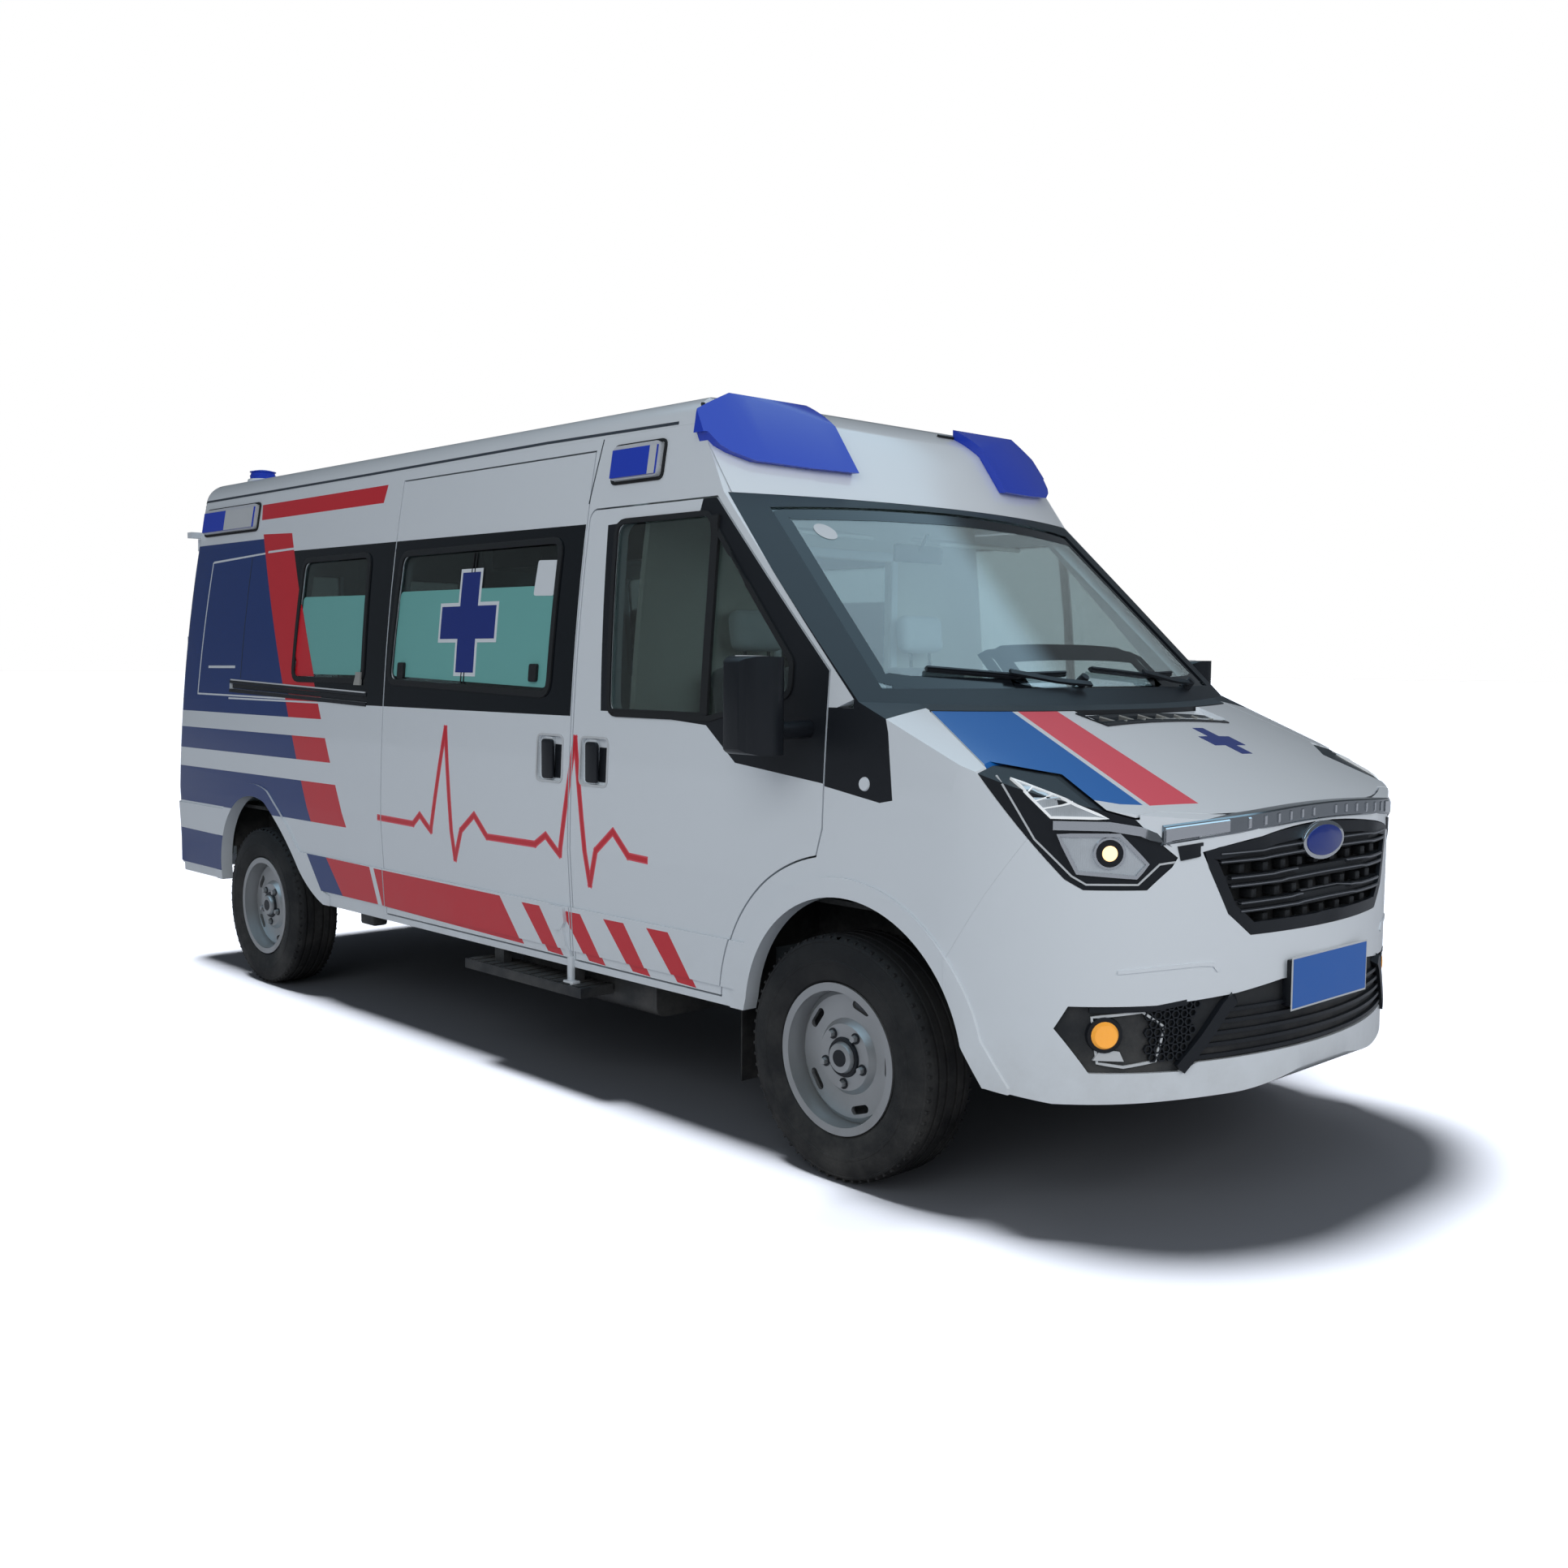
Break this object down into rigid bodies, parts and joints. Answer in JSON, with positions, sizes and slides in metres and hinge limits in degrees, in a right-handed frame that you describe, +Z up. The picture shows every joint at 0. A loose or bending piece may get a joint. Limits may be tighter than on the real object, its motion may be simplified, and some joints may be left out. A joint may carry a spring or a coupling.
{
  "type": "ambulance van",
  "caption": "Long panel van with a raised roof, fitted out as an ambulance: hinged cab and rear doors, a bonnet, steered front wheels and blue roof lights.",
  "frame": {"origin": "on the ground under the middle of the vehicle's bounding box", "axes": "+X points forward, +Y to the left, +Z up"},
  "size_m": [5.85, 2.4202, 2.46],
  "materials": {
    "body_paint": "gloss",
    "black_plastic": "satin",
    "grey_plastic": "satin",
    "window_glass": "gloss",
    "lamp_glass": "gloss",
    "red_lens": "gloss",
    "blue_lens": "gloss",
    "underbody": "matte",
    "cast_metal": "rough",
    "bare_steel": "worn",
    "seat_fabric": "woven",
    "wheel_steel": "satin",
    "tyre_rubber": "matte",
    "black_rubber": "matte"
  },
  "bodies": {
    "shell": {"roof": "body_paint", "side_panel_right": "body_paint", "side_panel_left": "body_paint", "sliding_door": "body_paint", "front_wings": "body_paint", "front_bumper": "body_paint", "screen_frame": "black_plastic", "cowl": "black_plastic", "side_windows": "window_glass", "windscreen": "window_glass", "rear_bumper": "body_paint", "headlamps": "lamp_glass", "grille": "black_plastic", "bumper_inserts": "black_plastic", "floor": "underbody", "engine_block": "cast_metal", "bulkhead": "underbody", "wheel_tubs": "underbody", "frame_rails": "underbody", "rear_axle": "cast_metal", "fuel_tank": "black_plastic", "exhaust": "bare_steel", "dashboard": "grey_plastic", "cab_seats": "seat_fabric", "partition": "grey_plastic", "cabinets": "grey_plastic", "tail_lamps": "red_lens", "roof_beacons": "blue_lens", "roof_light_pods": "blue_lens", "side_beacons": "blue_lens", "side_step": "underbody", "mud_flaps": "black_rubber"},
    "front_door_right": {"front_door_right": "body_paint", "front_door_glass_right": "window_glass", "mirror_right": "black_plastic"},
    "front_door_left": {"front_door_left": "body_paint", "front_door_glass_left": "window_glass", "mirror_left": "black_plastic"},
    "rear_door_right": {"rear_door_right": "body_paint", "rear_door_glass_right": "window_glass"},
    "rear_door_left": {"rear_door_left": "body_paint", "rear_door_glass_left": "window_glass"},
    "bonnet": {"bonnet": "body_paint"},
    "knuckle_left": {"knuckle_left": "cast_metal"},
    "knuckle_right": {"knuckle_right": "cast_metal"},
    "steering_wheel": {"steering_wheel": "black_plastic"},
    "wheel_front_left": {"rim_front_left": "wheel_steel", "tyre_front_left": "tyre_rubber"},
    "wheel_front_right": {"rim_front_right": "wheel_steel", "tyre_front_right": "tyre_rubber"},
    "wheel_rear_left": {"rim_rear_left": "wheel_steel", "tyre_rear_left": "tyre_rubber"},
    "wheel_rear_right": {"rim_rear_right": "wheel_steel", "tyre_rear_right": "tyre_rubber"}
  },
  "joints": [
    {"name": "steer_left", "type": "hinge", "parent": "shell", "child": "knuckle_left", "pos_m": [1.91, 0.735, 0.363], "axis": [0, 0, 1], "range_deg": [-35, 35]},
    {"name": "steer_right", "type": "hinge", "parent": "shell", "child": "knuckle_right", "pos_m": [1.91, -0.735, 0.363], "axis": [0, 0, 1], "range_deg": [-35, 35]},
    {"name": "steering_column", "type": "hinge", "parent": "shell", "child": "steering_wheel", "pos_m": [1.58, 0.43, 1.23], "axis": [-0.766, 0, 0.6428], "range_deg": [-560, 560]},
    {"name": "spin_front_left", "type": "hinge", "parent": "knuckle_left", "child": "wheel_front_left", "pos_m": [1.91, 0.87, 0.363], "axis": [0, 1, 0], "continuous": true},
    {"name": "spin_front_right", "type": "hinge", "parent": "knuckle_right", "child": "wheel_front_right", "pos_m": [1.91, -0.87, 0.363], "axis": [0, 1, 0], "continuous": true},
    {"name": "spin_rear_left", "type": "hinge", "parent": "shell", "child": "wheel_rear_left", "pos_m": [-1.84, 0.87, 0.363], "axis": [0, 1, 0], "continuous": true},
    {"name": "spin_rear_right", "type": "hinge", "parent": "shell", "child": "wheel_rear_right", "pos_m": [-1.84, -0.87, 0.363], "axis": [0, 1, 0], "continuous": true},
    {"name": "front_door_right_hinge", "type": "hinge", "parent": "shell", "child": "front_door_right", "pos_m": [1.86, -0.99, 0.9], "axis": [0, 0, 1], "range_deg": [0, 68]},
    {"name": "front_door_left_hinge", "type": "hinge", "parent": "shell", "child": "front_door_left", "pos_m": [1.86, 0.99, 0.9], "axis": [0, 0, -1], "range_deg": [0, 68]},
    {"name": "rear_door_right_hinge", "type": "hinge", "parent": "shell", "child": "rear_door_right", "pos_m": [-2.802, -0.853, 0.86], "axis": [0.0527, 0, 0.9986], "range_deg": [0, 180]},
    {"name": "rear_door_left_hinge", "type": "hinge", "parent": "shell", "child": "rear_door_left", "pos_m": [-2.802, 0.853, 0.86], "axis": [-0.0527, 0, -0.9986], "range_deg": [0, 180]},
    {"name": "bonnet_hinge", "type": "hinge", "parent": "shell", "child": "bonnet", "pos_m": [2.115, 0, 1.385], "axis": [0, -1, 0], "range_deg": [0, 45]}
  ],
  "couplings": [
    {"joint": "steer_right", "follows": "steer_left", "ratio": 1},
    {"joint": "steering_column", "follows": "steer_left", "ratio": 16}
  ]
}
